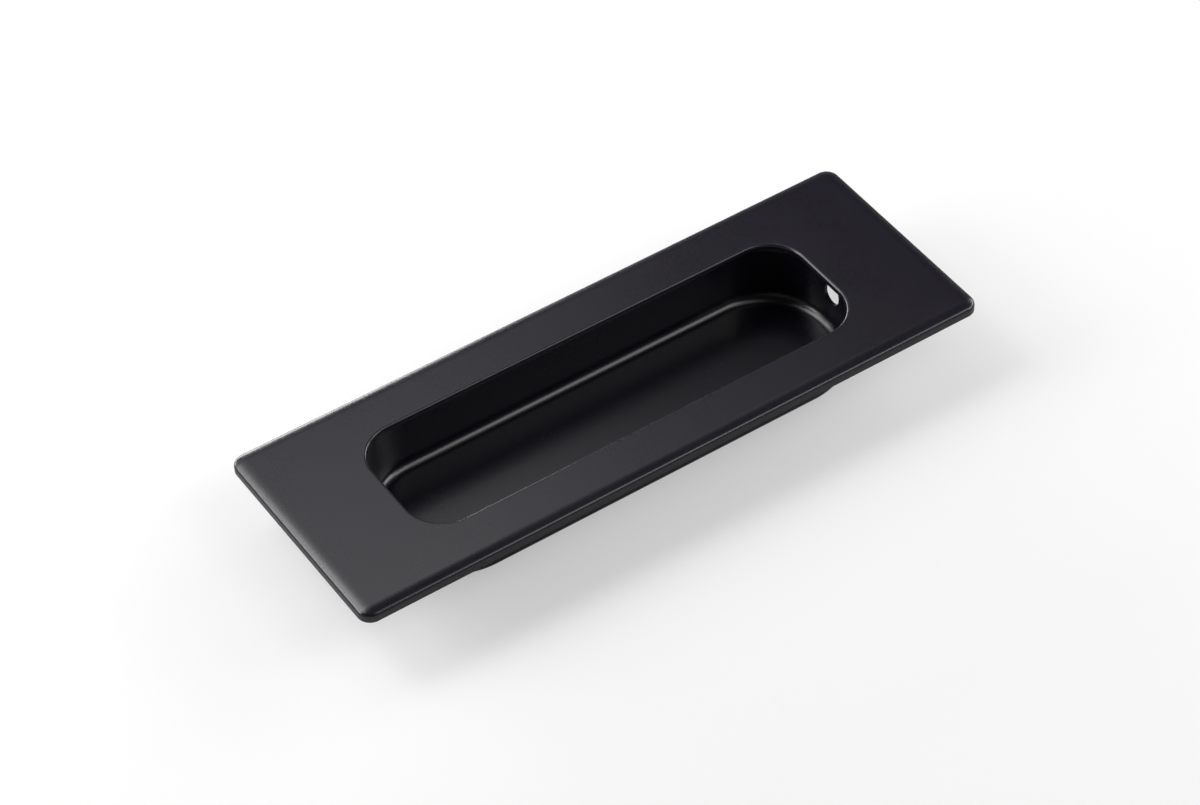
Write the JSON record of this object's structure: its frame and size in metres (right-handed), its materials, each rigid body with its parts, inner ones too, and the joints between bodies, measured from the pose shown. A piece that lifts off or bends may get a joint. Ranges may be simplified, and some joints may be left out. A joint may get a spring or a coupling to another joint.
{
  "type": "pocket door pull",
  "caption": "Flush pull for a sliding pocket door: flat plate with a rounded opening over a drawn finger cup that has a screw hole in each end wall.",
  "frame": {"origin": "centre of the cup's flat base", "axes": "+Z out of the plate's face, +X along the plate"},
  "size_m": [0.15, 0.0524, 0.0165],
  "materials": {
    "black_coat": "matte"
  },
  "bodies": {
    "root": {"face_plate": "black_coat", "pull_cup": "black_coat"}
  },
  "joints": []
}
